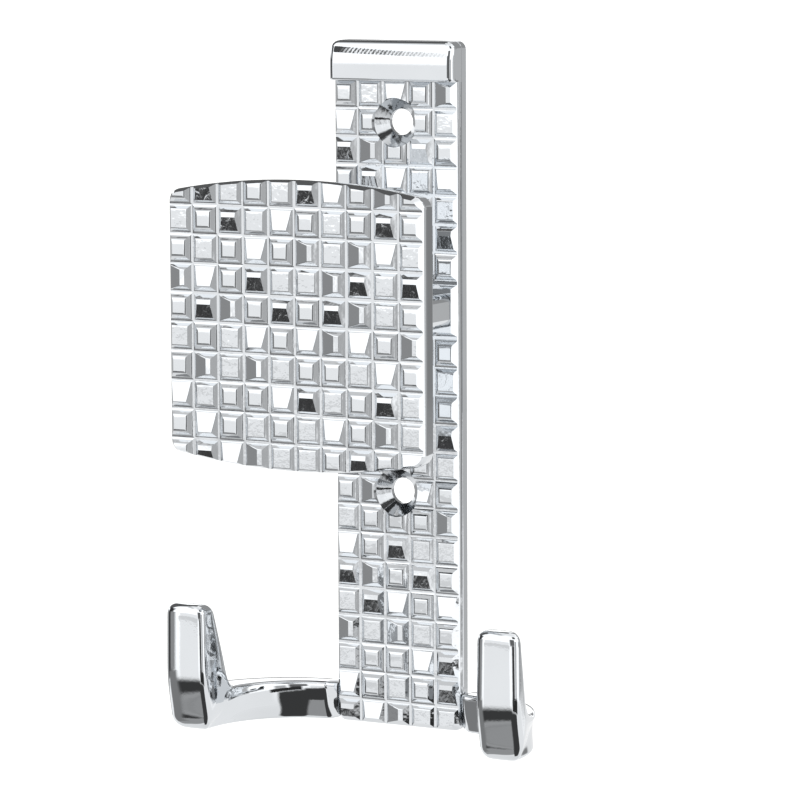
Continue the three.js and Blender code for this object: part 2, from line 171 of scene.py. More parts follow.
TAB_BEND_START = 11.5 * MM
TAB_BEND_LENGTH = 5.8 * MM
TAB_BEND_ANGLE = 12.5
TAB_CROWN = (3.6 * MM, 1.3 * MM)
TAB_INNER_CROWN = (2.2 * MM, 1.2 * MM)
ARM_BELT = 0.53
ARM_BELT_ROUND = 0.7 * MM
ARM_INNER_DRAFT = 1.2 * MM
ARM_OUTER_DRAFT = 0.37 * MM

# How much of the inner draft the belt's lower and upper edge have.
ARM_BELT_DRAFT = (0.3, 0.2)

# Levels over the wall that follow from those sizes.
FACE_FLOOR = HEADER_FRONT - HEADER_RISE
FACE_TOP = FACE_FLOOR + STUD_HEIGHT
PAD_FLOOR = PAD_FRONT - STUD_HEIGHT
PAD_BACK = PAD_FLOOR - PAD_THICKNESS
CARRIER_FRONT = PLATE_BACK - SEAM_GAP
ARM_OUTER = TAB_OUTER - TAB_WIDTH + ARM_THICKNESS


def only(obj):
    """Selects one object alone and makes it the active one."""
    bpy.ops.object.select_all(action="DESELECT")
    obj.select_set(True)
    bpy.context.view_layer.objects.active = obj


@contextmanager
def editing(obj, kind="FACE"):
    """Opens a mesh in edit mode with nothing selected."""
    only(obj)
    bpy.ops.object.mode_set(mode="EDIT")
    bpy.ops.mesh.select_mode(type=kind)
    bpy.ops.mesh.select_all(action="DESELECT")
    yield
    bpy.ops.object.mode_set(mode="OBJECT")


def choose(obj, kind, test):
    """Selects the faces, edges or corners that pass a test."""
    shape = bmesh.from_edit_mesh(obj.data)
    shape.normal_update()
    for item in getattr(shape, kind):
        if test(item):
            item.select_set(True)
    shape.select_flush_mode()
    bmesh.update_edit_mesh(obj.data)


def edges_at(axis, level, sharper=30):
    """A test for the sharp edges that lie at one level of an axis."""
    def test(edge):
        if len(edge.link_faces) != 2 or edge.calc_face_angle() < math.radians(sharper):
            return False
        return all(abs(corner.co[axis] - level) < 1e-6 for corner in edge.verts)
    return test


def push(distance):
    """Extrudes what is selected straight out from the wall."""
    bpy.ops.mesh.extrude_region_move(TRANSFORM_OT_translate={"value": (0, 0, distance)})


def block(low, high):
    """A box between two corners, as a start for a piece."""
    middle = (Vector(low) + Vector(high)) / 2
    bpy.ops.mesh.primitive_cube_add(size=1, location=middle, scale=Vector(high) - Vector(low))
    bpy.ops.object.transform_apply(location=True, rotation=True, scale=True)
    bpy.context.object.data.materials.append(CHROME)
    return bpy.context.object


def carve(body, tool, operation):
    """Joins a piece and a tool shape, cuts the tool away, or keeps what they share. A cut face takes the
    tool's finish."""
    change = body.modifiers.new(operation.lower(), "BOOLEAN")
    change.operation = operation
    change.object = tool
    change.solver = "MANIFOLD"
    change.material_mode = "TRANSFER"
    only(body)
    bpy.ops.object.modifier_apply(modifier=change.name)
    bpy.data.objects.remove(tool)


def stud_tile(letter):
    """One square of the grid: its share of the groove and the stud in the middle."""
    bpy.ops.mesh.primitive_plane_add(size=STUD_PITCH)
    tile = bpy.context.object
    tile.data.materials.append(CHROME)
    tile.data.materials.append(RIPPLED)
    tile.data.materials.append(CAST)
    if letter == "s":
        return tile

    def rounded(edge):
        if len(edge.link_faces) != 2 or edge.calc_face_angle() < math.radians(20):
            return False
        return any(face.normal.z > 0.93 for face in edge.link_faces)

    with editing(tile):
        bpy.ops.mesh.select_all(action="SELECT")
        bpy.ops.mesh.inset(thickness=GROOVE_WIDTH / 2)
        width = STUD_PITCH - GROOVE_WIDTH
        height = 0
        for next_width, next_height in ((STUD_WAIST, STUD_WAIST_HEIGHT), (STUD_TOP, STUD_HEIGHT)):
            push(next_height - height)
            narrower = next_width / width
            bpy.ops.transform.resize(value=(narrower, narrower, 1), center_override=(0, 0, 0))
            width = next_width
            height = next_height
        for lean, turn, ledge, drop in STUD_CUTS[letter]:
            turned = Matrix.Rotation(math.radians(turn), 3, "Z")
            start = Vector((0, ledge * MM - STUD_TOP / 2, STUD_HEIGHT - drop * MM))
            normal = Vector((0, math.sin(math.radians(lean)), math.cos(math.radians(lean))))
            bpy.ops.mesh.select_all(action="SELECT")
            bpy.ops.mesh.bisect(plane_co=turned @ start, plane_no=turned @ normal, use_fill=True,
                                clear_outer=True, threshold=1e-7)
        bpy.ops.mesh.select_mode(type="EDGE")
        bpy.ops.mesh.select_all(action="DESELECT")
        choose(tile, "edges", rounded)
        bpy.ops.mesh.bevel(offset=STUD_ROUND, segments=3, affect="EDGES", clamp_overlap=True)
    for face in tile.data.polygons:
        if face.normal.y < -0.12 and face.normal.z > 0.93:
            face.material_index = 1
        elif letter == "E" and face.normal.z > 0.98:
            face.material_index = 2
    return tile


def stud_field(name, chart, rows_above, floor, depth):
    """All the studs of a plate as one block, a little larger than the plate."""
    tiles = {letter: stud_tile(letter) for letter in sorted(set("".join(chart)))}
    columns = len(chart[0])
    studs = []
    for row, letters in enumerate(chart):
        for column, letter in enumerate(letters):
            stud = tiles[letter].copy()
            stud.data = tiles[letter].data.copy()
            across = (column - (columns - 1) / 2) * STUD_PITCH
            stud.location = (across, (rows_above - row - 0.5) * STUD_PITCH, floor)
            bpy.context.collection.objects.link(stud)
            studs.append(stud)
    for tile in tiles.values():
        bpy.data.objects.remove(tile)
    only(studs[0])
    for stud in studs:
        stud.select_set(True)
    bpy.ops.object.join()
    field = bpy.context.object
    field.name = name
    bpy.ops.object.transform_apply(location=True, rotation=True, scale=True)
    with editing(field, "EDGE"):
        bpy.ops.mesh.select_all(action="SELECT")
        bpy.ops.mesh.remove_doubles(threshold=1e-6)
        bpy.ops.mesh.select_all(action="DESELECT")
        bpy.ops.mesh.select_non_manifold(extend=False, use_wire=False, use_multi_face=False,
                                         use_non_contiguous=False, use_verts=False)
        bpy.ops.mesh.extrude_edges_move(TRANSFORM_OT_translate={"value": (0, 0, -depth)})
        bpy.ops.mesh.edge_face_add()
        bpy.ops.mesh.select_all(action="SELECT")
        bpy.ops.mesh.normals_make_consistent(inside=False)
    return field


def rimmed_slab(slab, back, floor, taller=1):
    """Thickens a flat outline: straight edge, rounded shoulder, then the sloping rim past the stud tops."""
    shoulder = floor - RIM_SHOULDER
    with editing(slab):
        bpy.ops.mesh.select_all(action="SELECT")
        push(shoulder - back)
        bpy.ops.mesh.inset(thickness=RIM_WIDTH * RIM_PAST_TOPS,
                           depth=(RIM_SHOULDER + STUD_HEIGHT) * RIM_PAST_TOPS)
        bpy.ops.transform.resize(value=(1, taller, 1), center_override=(0, 0, 0))
        bpy.ops.mesh.select_all(action="SELECT")
        bpy.ops.mesh.normals_make_consistent(inside=False)
        bpy.ops.mesh.select_mode(type="EDGE")
        bpy.ops.mesh.select_all(action="DESELECT")
        choose(slab, "edges", edges_at(2, shoulder, 20))
        bpy.ops.mesh.bevel(offset=SHOULDER_ROUND, segments=3, affect="EDGES")


def flat_outline(low, high, corner, corners):
    """A flat rectangle with chosen corners rounded."""
    middle = ((low[0] + high[0]) / 2, (low[1] + high[1]) / 2, low[2])
    bpy.ops.mesh.primitive_plane_add(size=1, location=middle)
    outline = bpy.context.object
    outline.scale = (high[0] - low[0], high[1] - low[1], 1)
    bpy.ops.object.transform_apply(location=True, rotation=True, scale=True)
    with editing(outline, "VERT"):
        choose(outline, "verts", corners)
        bpy.ops.mesh.bevel(offset=corner, segments=5, affect="VERTICES")
    outline.data.materials.append(CHROME)
    return outline


def countersunk(across, up, start, end, radius, sink_radius, sink_level, mouth_radius, outward):
    """A drill shape: a bore between two levels, a cone for the screw's head, and the mouth over it."""
    bpy.ops.mesh.primitive_cylinder_add(vertices=64, radius=radius, depth=1, location=(across, up, 0.5))
    drill = bpy.context.object
    bpy.ops.object.transform_apply(location=True, rotation=True, scale=True)
    cone_end = sink_level - outward * (sink_radius - radius)
    mouth = sink_level + outward * MOUTH_DEPTH
    first, last = (start, cone_end) if outward > 0 else (cone_end, end)
    for corner in drill.data.vertices:
        corner.co.z = last if corner.co.z > 0.5 else first
    with editing(drill):
        choose(drill, "faces", lambda face: face.normal.z * outward > 0.9)
        width = radius
        level = cone_end
        for next_width, next_level in ((sink_radius, sink_level), (mouth_radius, mouth)):
            push(next_level - level)
            wider = next_width / width
            bpy.ops.transform.resize(value=(wider, wider, 1), center_override=(across, up, 0))
            width = next_width
            level = next_level
        bpy.ops.mesh.select_all(action="SELECT")
        bpy.ops.mesh.normals_make_consistent(inside=False)
    # Every cut face of the drill takes the chrome whose greyer colour is painted shade.
    drill.data.materials.append(SHADED_COUNTERSINK_CHROME)
    return drill


def wall_hole(up, wider=0):
    """The drill for a wall screw, from the front."""
    sink = WALL_COUNTERSINK_RADIUS + wider
    return countersunk(0, up, -DRILL_OVERRUN, 0, WALL_HOLE_RADIUS, sink, FACE_FLOOR,
                       sink + WALL_MOUTH_WIDER, 1)


def clamp_hole(side):
    """The drill for a clamp screw, from the back into the neck."""
    return countersunk(side * CLAMP_OFFSET, 0, 0, CLAMP_HOLE_DEPTH, CLAMP_HOLE_RADIUS,
                       CLAMP_COUNTERSINK_RADIUS, 0, CLAMP_COUNTERSINK_RADIUS + MOUTH_DEPTH, -1)


def header_ring(height, inset):
    """A level section of the header bar: flat back, rounded ends, and the front set in by an inset."""
    over = max(height - HEADER_BOTTOM - HEADER_FLAT, 0)
    under = max(HEADER_BOTTOM + HEADER_FLAT - height, 0)
    front = HEADER_FRONT - HEADER_BROW_RADIUS + math.sqrt(HEADER_BROW_RADIUS ** 2 - over ** 2) - inset
    front -= under ** 2 / (2 * HEADER_CHEEK_RADIUS)
    in_corner = max(height - PLATE_TOP + PLATE_CORNER, 0)
    side = PLATE_SIDE - PLATE_CORNER + math.sqrt(max(PLATE_CORNER ** 2 - in_corner ** 2, 0))
    r = HEADER_END_ROUND
    ring = [Vector((-side, height, PLATE_BACK)), Vector((side, height, PLATE_BACK))]
    for end in (1, -1):
        for step in range(8):
            turn = math.radians(90 * step / 7 if end < 0 else 90 - 90 * step / 7)
            across = side - r + r * math.sin(turn)
            ring.append(Vector((end * across, height, front - r + r * math.cos(turn))))
    return ring


def header_bar():
    """The smooth bar across the plate's top: flat below, with a gently rounded brow and round ends."""
    rings = []
    for step in range(5):
        turn = math.radians(90 * step / 4)
        rings.append(header_ring(HEADER_BOTTOM + HEADER_FOOT_ROUND * (1 - math.cos(turn)),
                                 HEADER_FOOT_ROUND * (1 - math.sin(turn))))
    low = HEADER_BOTTOM + HEADER_FOOT_ROUND
    high = PLATE_TOP - HEADER_TOP_ROUND
    rings += [header_ring(low + (high - low) * step / 16, 0) for step in range(1, 16)]
    for step in range(6):
        turn = math.radians(90 * step / 5)
        rings.append(header_ring(high + HEADER_TOP_ROUND * math.sin(turn),
                                 HEADER_TOP_ROUND * (1 - math.cos(turn))))
    return loft("header_bar", rings)


def loft(name, rings):
    """A closed skin over a row of sections that all have the same number of points."""
    count = len(rings[0])
    corners = [point for ring in rings for point in ring]
    faces = [tuple(range(count)), tuple(range(len(corners) - count, len(corners)))]
    for ring in range(len(rings) - 1):
        for step in range(count):
            a = ring * count + step
            b = ring * count + (step + 1) % count
            faces.append((a, b, b + count, a + count))
    mesh = bpy.data.meshes.new(name)
    mesh.from_pydata(corners, [], faces)
    mesh.materials.append(BUFFED)
    piece = bpy.data.objects.new(name, mesh)
    bpy.context.collection.objects.link(piece)
    with editing(piece):
        bpy.ops.mesh.select_all(action="SELECT")
        bpy.ops.mesh.normals_make_consistent(inside=False)
    return piece


def ridge(edge):
    """A test for the low ridges between two facets of a stud's top."""
    if len(edge.link_faces) != 2 or edge.calc_face_angle() < math.radians(7):
        return False
    return all(face.normal.y < -0.93 for face in edge.link_faces)


def finish_piece(piece, name, node, studded=True):
    """Turns a piece from the front view into the part's frame and gives it its finish."""
    piece.name = name
    piece.data.name = name
    piece.rotation_euler = (math.pi / 2, 0, 0)
    only(piece)
    bpy.ops.object.transform_apply(location=True, rotation=True, scale=True)
    with editing(piece):
        bpy.ops.mesh.select_all(action="SELECT")
        bpy.ops.mesh.remove_doubles(threshold=1e-6)
        bpy.ops.mesh.normals_make_consistent(inside=False)
    bpy.ops.object.shade_smooth_by_angle(angle=STUDDED_SMOOTHING if studded else PLAIN_SMOOTHING)
    if studded:
        with editing(piece, "EDGE"):
            choose(piece, "edges", ridge)
            bpy.ops.mesh.mark_sharp()
        flat_first = piece.modifiers.new("flat_faces_stay_flat", "WEIGHTED_NORMAL")
        flat_first.keep_sharp = True
        bpy.ops.object.modifier_apply(modifier=flat_first.name)
    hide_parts(node)
    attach(piece, "root")


def plate_slab():
    """The face plate's outline, thickened and rimmed."""
    high = (PLATE_SIDE, HEADER_BOTTOM + PAST_HEADER_FOOT, 0)
    slab = flat_outline((-PLATE_SIDE, PLATE_FOOT, PLATE_BACK), high, PLATE_CORNER,
                        lambda corner: corner.co.y < 0)
    rimmed_slab(slab, PLATE_BACK, FACE_FLOOR)
    return slab


def face_plate():
    """The studded plate with its header bar, the neck's seat and the two wall holes."""
    plate = stud_field("face_plate_dress", FACE_STUDS, ROWS_ABOVE_FACE, FACE_FLOOR, 2 * MM)
    slab = plate_slab()
    with editing(slab, "EDGE"):
        choose(slab, "edges", edges_at(2, PLATE_BACK))
        bpy.ops.mesh.bevel(offset=SEAM_ROUND, segments=2, affect="EDGES")
    carve(plate, slab, "INTERSECT")
    seat_top = STUD_TOP - STUD_PITCH
    seat = block((-PLATE_SIDE - 1 * MM, -STUD_PITCH + GROOVE_WIDTH / 2, FACE_FLOOR - 0.2 * MM),
                 (PLATE_SIDE + 1 * MM, STUD_PITCH - GROOVE_WIDTH / 2, FACE_TOP))
    with editing(seat):
        choose(seat, "faces", lambda face: face.normal.z > 0.9)
        shorter = (2 * STUD_PITCH + seat_top) / (2 * STUD_PITCH - GROOVE_WIDTH)
        bpy.ops.transform.resize(value=(1, shorter, 1), center_override=(0, 0, 0))
    carve(seat, plate_slab(), "INTERSECT")
    carve(plate, seat, "UNION")
    carve(plate, header_bar(), "UNION")
    carve(plate, wall_hole(WALL_HOLE_OFFSET), "DIFFERENCE")
    carve(plate, wall_hole(-WALL_HOLE_OFFSET), "DIFFERENCE")
    carve(plate, clamp_hole(-1), "DIFFERENCE")
    carve(plate, clamp_hole(1), "DIFFERENCE")
    finish_piece(plate, "face_plate_dress", "face_plate")


def front_pad():
    """The large studded pad with its arched top and bottom, on its flat neck."""
    pad = stud_field("front_pad_dress", PAD_STUDS, ROWS_ABOVE_PAD, PAD_FLOOR, PAD_THICKNESS + 1 * MM)
    bpy.ops.mesh.primitive_plane_add(size=2 * PAD_SIDE, location=(0, 0, PAD_BACK))
    slab = bpy.context.object
    slab.data.materials.append(BUFFED)
    bpy.ops.object.transform_apply(location=True, rotation=True, scale=True)
    with editing(slab, "EDGE"):
        choose(slab, "edges", lambda edge: abs(edge.verts[0].co.y - edge.verts[1].co.y) < 1e-6)
        bpy.ops.mesh.subdivide(number_cuts=PAD_ARCH_CUTS)
    for corner in slab.data.vertices:
        arch = PAD_CROWN - PAD_ARCH_RADIUS + math.sqrt(PAD_ARCH_RADIUS ** 2 - corner.co.x ** 2)
        corner.co.y = math.copysign(arch, corner.co.y)
    with editing(slab, "VERT"):
        choose(slab, "verts", lambda corner: abs(corner.co.x) > PAD_SIDE - 1e-6)
        bpy.ops.mesh.bevel(offset=PAD_CORNER, segments=5, affect="VERTICES")
    rimmed_slab(slab, PAD_BACK, PAD_FLOOR, PAD_RIM_TALLER)
    with editing(slab):
        choose(slab, "faces", lambda face: face.normal.z < -0.9)
        bpy.ops.transform.resize(value=(PAD_DRAFT, PAD_DRAFT, 1), center_override=(0, 0, 0))
    with editing(slab, "EDGE"):
        choose(slab, "edges", edges_at(2, PAD_BACK))
        bpy.ops.mesh.bevel(offset=PAD_BACK_ROUND, segments=5, affect="EDGES")
    carve(pad, slab, "INTERSECT")
    wide, tall = NECK_SIZE
    neck = block((-wide / 2, -tall / 2, NECK_FOOT), (wide / 2, tall / 2, PAD_BACK + 1 * MM))
    neck.data.materials[0] = BUFFED
    with editing(neck, "EDGE"):
        choose(neck, "edges", lambda edge: abs(edge.verts[0].co.z - edge.verts[1].co.z) > 1 * MM)
        bpy.ops.mesh.bevel(offset=NECK_CORNER, segments=6, affect="EDGES")
    carve(pad, neck, "UNION")
    carve(pad, clamp_hole(-1), "DIFFERENCE")
    carve(pad, clamp_hole(1), "DIFFERENCE")
    finish_piece(pad, "front_pad_dress", "front_pad")


def corner_arc(corner, along, inward, radius, inner_radius):
    """Four points round one corner of a section, from the wall beside it to the wall after it."""
    points = []
    for step in range(4):
        turn = math.radians(30 * step)
        aside = along * radius * (1 - math.sin(turn))
        points.append(corner + aside + inward * inner_radius * (1 - math.cos(turn)))
    return points


def arm_ring(top_turn, foot_turn):
    """A section across the arm, by how many degrees its top and its underside have come round the bend."""
    def wall(turn, outer):
        bend = math.radians(min(turn, 90))
        foot_front = tab_front(HOOK_FOOT + TAB_FOOT_RISE) - TAB_FOOT_LENGTH
        ahead = max(turn - 90, 0) / (ARM_SWEEP - 90) * (foot_front - ARM_BEND_LEVEL)
        start = PLATE_SIDE + ARM_ROOT_GAP
        reach = (ARM_OUTER if outer else TAB_OUTER - TAB_WIDTH) - start
        depth = ARM_BEND_LEVEL if outer else ARM_BEND_LEVEL - ARM_ROOT_DEPTH
        place = Vector((start + reach * math.sin(bend), 0, ARM_BEND_LEVEL - depth * math.cos(bend) + ahead))
        return place, Vector((math.sin(bend), 0, -math.cos(bend)))

    up = Vector((0, 1, 0))
    top = up * (HOOK_FOOT + ARM_HEIGHT)
    foot = up * HOOK_FOOT
    r = ARM_EDGE_ROUND
    inner_top, inner_top_out = wall(top_turn, False)
    outer_top, outer_top_out = wall(top_turn, True)
    inner_foot, inner_foot_out = wall(foot_turn, False)
    outer_foot, outer_foot_out = wall(foot_turn, True)
    inner_belt = (inner_top + inner_foot) / 2 + up * (HOOK_FOOT + ARM_HEIGHT * ARM_BELT)
    outer_belt = (outer_top + outer_foot) / 2 + up * (HOOK_FOOT + ARM_HEIGHT * ARM_BELT)
    below_top = inner_foot_out * ARM_INNER_DRAFT
    inner_foot = inner_foot + below_top
    outer_foot = outer_foot - outer_foot_out * ARM_OUTER_DRAFT
    ring = corner_arc(inner_top + top, -up, inner_top_out, r, r)
    ring += corner_arc(outer_top + top, -outer_top_out, -up, r, r)
    half_in = outer_foot_out * ARM_OUTER_DRAFT / 2
    ring += [outer_belt + up * ARM_BELT_ROUND - half_in, outer_belt - up * ARM_BELT_ROUND - half_in]
    ring += corner_arc(outer_foot + foot, up, -outer_foot_out, r, r)
    ring += corner_arc(inner_foot + foot, inner_foot_out, up, r, r)
    ring += [inner_belt - up * ARM_BELT_ROUND + below_top * ARM_BELT_DRAFT[0],
             inner_belt + up * ARM_BELT_ROUND + below_top * ARM_BELT_DRAFT[1]]
    return ring


def tab_front(height):
    """How far out the tab's front stands at a height: upright above, easing back towards its foot."""
    below = max(HOOK_FOOT + TAB_BEND_START - height, 0)
    t = min(below / TAB_BEND_LENGTH, 1)
    eased = TAB_BEND_LENGTH * (t ** 3 - t ** 4 / 2) + max(below - TAB_BEND_LENGTH, 0)
    return TAB_FRONT - eased * math.tan(math.radians(TAB_BEND_ANGLE))


def tab_ring(back_height, front_height, narrower=0, thinner=0):
    """A section of the tab: crowned in front, thin on its outer side, at heights given back and front."""
    below_top = HOOK_FOOT + TAB_HEIGHT - back_height
    thick = TAB_TOP_THICKNESS + below_top * TAB_BACK_SLOPE
    front = tab_front(front_height) - thinner
    back = TAB_FRONT - thick + thinner
    taper = max(front_height - HOOK_FOOT - TAB_BEND_START, 0) * TAB_TAPER
    above_foot = max(front_height - HOOK_FOOT - TAB_FOOT_RISE, 0)
    inner = TAB_OUTER - TAB_WIDTH + narrower + above_foot * TAB_INNER_TAPER
    outer = TAB_OUTER - narrower - taper
    right = Vector((1, 0, 0))
    out = Vector((0, 0, 1))
    r = TAB_EDGE_ROUND
    side = TAB_FRONT - TAB_OUTER_THICKNESS - below_top * TAB_OUTER_SLOPE
    deep = min(1, (front - back - r) / (TAB_CROWN[1] + 0.2 * MM))
    crown_wide, crown_deep = TAB_CROWN[0], TAB_CROWN[1] * deep
    inner_wide, inner_deep = TAB_INNER_CROWN[0], TAB_INNER_CROWN[1] * deep
    side = min(side, front - crown_deep - 0.1 * MM)
    draft = (front - back - inner_deep - r) * TAB_SIDE_DRAFT
    ring = corner_arc(Vector((inner - draft, back_height, back)), out, right, r, r)
    ring += corner_arc(Vector((outer, back_height, back)), -right, out, outer - inner - 2 * r, side - back)
    edge_front = front - crown_deep
    ring += [Vector((outer, back_height + (front_height - back_height) * t, side + (edge_front - side) * t))
             for t in (1 / 3, 2 / 3)]
    ring += corner_arc(Vector((outer, front_height, front)), -out, -right, crown_deep, crown_wide)
    ring += corner_arc(Vector((inner, front_height, front)), right, -out, inner_wide, inner_deep)
    edge_front = front - inner_deep
    edge_back = back + r
    ring += [Vector((inner - draft * t, front_height + (back_height - front_height) * t,
                     edge_front + (edge_back - edge_front) * t)) for t in (1 / 3, 2 / 3)]
    return ring


def hook_rings():
    """All the sections of the right hook, from the plate's side to the tab's top."""
    top = HOOK_FOOT + TAB_HEIGHT
    fillet_top = HOOK_FOOT + ARM_HEIGHT + ARM_FILLET
    foot_top = HOOK_FOOT + TAB_FOOT_RISE
    thick = TAB_TOP_THICKNESS + (top - fillet_top) * TAB_BACK_SLOPE
    fillet_start = TAB_FRONT - thick - ARM_FILLET
    middle_depth = ARM_BEND_LEVEL - ARM_ROOT_DEPTH / 2
    top_turn = math.degrees(math.acos((ARM_BEND_LEVEL - fillet_start) / middle_depth))
    rings = []
    for step in range(ARM_STEPS + 1):
        rings.append(arm_ring(top_turn * step / ARM_STEPS, ARM_SWEEP * step / ARM_STEPS))
    middle = sum(rings[0], Vector()) / len(rings[0])
    end = []
    for point in rings[0]:
        shorter = middle.y + (point.y - middle.y) * ARM_END_SHORTER
        end.append(Vector((point.x, shorter, point.z * ARM_END_THINNER)))
    rings[0] = [point + Vector((ARM_END_ROUND, 0, 0)) for point in rings[0]]
    rings.insert(0, end)
    first = rings[-1]
    last = tab_ring(fillet_top, foot_top)
    for step in range(1, FILLET_STEPS):
        t = step / FILLET_STEPS
        ring = []
        for a, b in zip(first, last):
            upper = (a.y + b.y) / 2 > HOOK_FOOT + ARM_HEIGHT / 2
            slope = TAB_BACK_SLOPE if upper else 0
            corner = Vector((b.x, a.y, b.z - (b.y - a.y) * slope))
            rounder = 1 if upper else TAB_FOOT_FULLNESS
            turn = (a + b) / 2 * (1 - rounder) + corner * rounder
            ring.append(a * (1 - t) ** 2 + turn * 2 * t * (1 - t) + b * t ** 2)
        rings.append(ring)
    shoulder = top - TAB_TOP_ROUND
    bend = HOOK_FOOT + TAB_BEND_START
    levels = [foot_top, (foot_top + bend - TAB_BEND_LENGTH) / 2]
    levels += [bend - TAB_BEND_LENGTH * t for t in (1.1, 0.85, 0.6, 0.35, 0.1)]
    levels += [bend + (shoulder - bend) * t for t in (0.1, 0.32, 0.55, 0.78, 1)]
    for level in levels:
        t = (level - foot_top) / (shoulder - foot_top)
        rings.append(tab_ring(fillet_top + (shoulder - fillet_top) * t, level))
    for degrees in (20, 40, 58, 74, 90):
        turn = math.radians(degrees)
        height = shoulder + TAB_TOP_ROUND * math.sin(turn)
        drawn_in = 1 - math.cos(turn)
        rings.append(tab_ring(height, height, TAB_TOP_ROUND * drawn_in, TAB_TOP_LEAN * drawn_in))
    return rings


def hook(side):
    """One smooth hook, lofted: it sweeps out and forward from the plate's side and up into its tab."""
    piece = loft("hook", [[Vector((side * p.x, p.y, p.z)) for p in ring] for ring in hook_rings()])
    with editing(piece, "EDGE"):
        start = side * (PLATE_SIDE + ARM_ROOT_GAP)
        choose(piece, "edges", lambda edge: all(abs(c.co.x - start) < 1e-6 for c in edge.verts))
        bpy.ops.transform.edge_crease(value=1)
    smooth = piece.modifiers.new("smooth_skin", "SUBSURF")
    smooth.levels = 2
    smooth.render_levels = 2
    only(piece)
    bpy.ops.object.modifier_apply(modifier=smooth.name)
    return piece


def hook_carrier():
    """The rear plate on the wall, with the roots of both hooks at its foot."""
    plate = flat_outline((-PLATE_SIDE, PLATE_FOOT, 0), (PLATE_SIDE, PLATE_TOP, 0), PLATE_CORNER,
                         lambda corner: True)
    plate.data.materials[0] = BUFFED
    with editing(plate):
        bpy.ops.mesh.select_all(action="SELECT")
        push(CARRIER_FRONT)
        bpy.ops.mesh.select_all(action="SELECT")
        bpy.ops.mesh.normals_make_consistent(inside=False)
        bpy.ops.mesh.select_mode(type="EDGE")
        bpy.ops.mesh.select_all(action="DESELECT")
        choose(plate, "edges", edges_at(2, CARRIER_FRONT))
        choose(plate, "edges", edges_at(2, 0))
        bpy.ops.mesh.bevel(offset=SEAM_ROUND, segments=2, affect="EDGES")
    for side in (-1, 1):
        root_top = HOOK_FOOT + ARM_HEIGHT - ARM_EDGE_ROUND
        root = block((PLATE_SIDE - ROOT_INSIDE, HOOK_FOOT + ARM_EDGE_ROUND, ROOT_INSET),
                     (PLATE_SIDE + ROOT_OUTSIDE, root_top, CARRIER_FRONT - ROOT_INSET))
        for corner in root.data.vertices:
            corner.co.x *= side
        with editing(root):
            bpy.ops.mesh.select_all(action="SELECT")
            bpy.ops.mesh.normals_make_consistent(inside=False)
        carve(plate, root, "UNION")
        carve(plate, hook(side), "UNION")
    carve(plate, wall_hole(WALL_HOLE_OFFSET, 1.5 * SEAM_GAP), "DIFFERENCE")
    carve(plate, wall_hole(-WALL_HOLE_OFFSET, 1.5 * SEAM_GAP), "DIFFERENCE")
    carve(plate, clamp_hole(-1), "DIFFERENCE")
    carve(plate, clamp_hole(1), "DIFFERENCE")
    finish_piece(plate, "hook_carrier_dress", "hook_carrier", studded=False)


def tint(code):
    """A colour written as sRGB hex, in the linear values that the shader takes."""
    values = [int(code[i:i + 2], 16) / 255 for i in (1, 3, 5)]
    return [v / 12.92 if v <= 0.04045 else ((v + 0.055) / 1.055) ** 2.4 for v in values] + [1]


def add(tree, kind, settings=(), **inputs):
    """Adds a node, sets what it needs and links or fills its sockets by name."""
    node = tree.nodes.new(kind)
    for key, value in dict(settings).items():
        setattr(node, key, value)
    for key, value in inputs.items():
        socket = node.inputs[int(key[1:]) if key[1:].isdigit() else key.replace("_", " ")]
        if isinstance(value, bpy.types.NodeSocket):
            tree.links.new(value, socket)
        else:
            socket.default_value = value
    return node


def new_material(name):
    """A material with an empty tree."""
    material = bpy.data.materials.new(name)
    material.use_nodes = True
    tree = material.node_tree
    tree.nodes.clear()
    return material, tree


def chrome_plate(name, swell_size, swell_height, ripple_size, ripple_height, haze=(0.035, 0.075)):
    """Chrome's mirror with a slight blue cast and a faint haze, over a broad swell and a fine ripple.
    Sizes and heights are in mm, and the haze runs from clear to cloudy."""
    material, tree = new_material(name)
    place = add(tree, "ShaderNodeTexCoord").outputs["Object"]
    bloom = add(tree, "ShaderNodeTexNoise", Vector=place, Scale=1 / (9 * MM), Detail=3.0)
    cloud = add(tree, "ShaderNodeMapRange", Value=bloom.outputs["Fac"], From_Min=0.35, From_Max=0.7,
                To_Min=haze[0], To_Max=haze[1])
    shade = add(tree, "ShaderNodeMix", {"data_type": "RGBA"}, Factor=bloom.outputs["Fac"],
                i6=tint("#E2E5E8"), i7=tint("#DADDE0"))
    swell = add(tree, "ShaderNodeTexNoise", Vector=place, Scale=1 / (swell_size * MM), Detail=0.0)
    roll = add(tree, "ShaderNodeBump", Strength=1.0, Distance=swell_height * MM,
               Height=swell.outputs["Fac"])
    ripple = add(tree, "ShaderNodeTexNoise", Vector=place, Scale=1 / (ripple_size * MM), Detail=2.0)
    wave = add(tree, "ShaderNodeBump", Strength=1.0, Distance=ripple_height * MM,
               Height=ripple.outputs["Fac"], Normal=roll.outputs["Normal"])
    metal = add(tree, "ShaderNodeBsdfPrincipled", Base_Color=shade.outputs["Result"], Metallic=1.0,
                Roughness=cloud.outputs["Result"], Normal=wave.outputs["Normal"])
    add(tree, "ShaderNodeOutputMaterial", Surface=metal.outputs["BSDF"])
    return material


def bright_chrome():
    """Bright chrome on the studs: a clear mirror with the shallow waviness of a polished casting."""
    return chrome_plate("bright_chrome_on_zinc", 4.5, 0.08, 1.6, 0.02)


def buffed_chrome():
    """Bright chrome on the header, the hooks, the neck and the plain backs, which are buffed: long calm
    reflections with a little orange peel at their edges."""
    return chrome_plate("bright_chrome_on_buffed_zinc", 9, 0.03, 0.45, 0.003, (0.015, 0.035))


def cast_chrome():
    """Bright chrome on the low studs, which no wheel reaches: light, with a few jagged dark marks."""
    return chrome_plate("bright_chrome_on_cast_skin", 3, 0.05, 1.3, 0.075)


